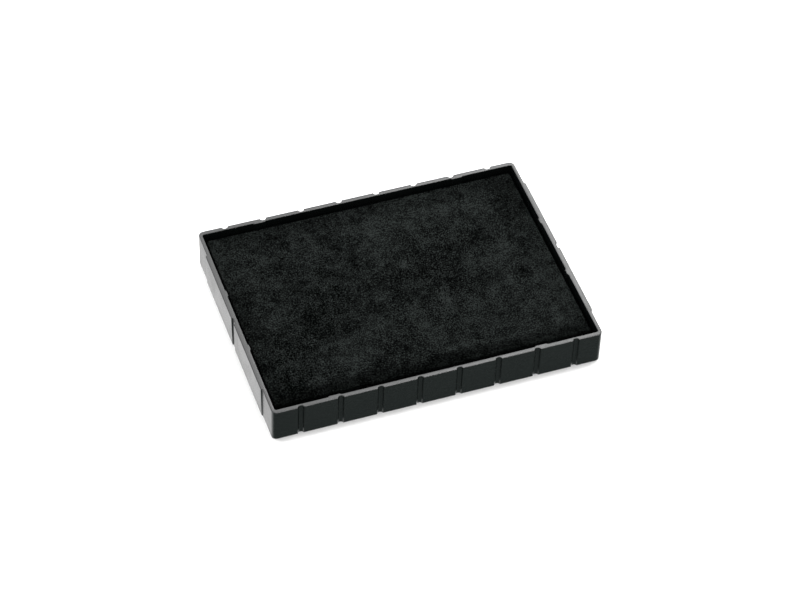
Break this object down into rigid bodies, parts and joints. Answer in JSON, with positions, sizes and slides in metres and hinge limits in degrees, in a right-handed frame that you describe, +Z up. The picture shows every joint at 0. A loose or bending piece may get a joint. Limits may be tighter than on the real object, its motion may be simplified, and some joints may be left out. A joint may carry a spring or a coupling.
{
  "type": "ink pad cassette",
  "caption": "Shallow rectangular moulded tray with grooved walls, holding a recessed felt ink pad whose face gives under a stamp plate.",
  "frame": {"origin": "centre of the underside", "axes": "+X along the length, the front wall faces -Y, +Z up out of the pad's face"},
  "size_m": [0.073, 0.054, 0.0083],
  "materials": {
    "tray_plastic": "satin moulded black plastic",
    "reservoir_felt": "ink-soaked felt",
    "face_felt": "fine short-fibred felt, damp with black ink"
  },
  "bodies": {
    "cassette": {"tray": "tray_plastic", "felt_reservoir": "reservoir_felt"},
    "pad_face": {"ink_face": "face_felt"}
  },
  "joints": [
    {"name": "face_press", "type": "slide", "parent": "cassette", "child": "pad_face", "axis": [0, 0, -1], "range_m": [0, 0.0008], "stiffness_N_per_m": 5000, "deforming": ["felt_reservoir"]}
  ]
}
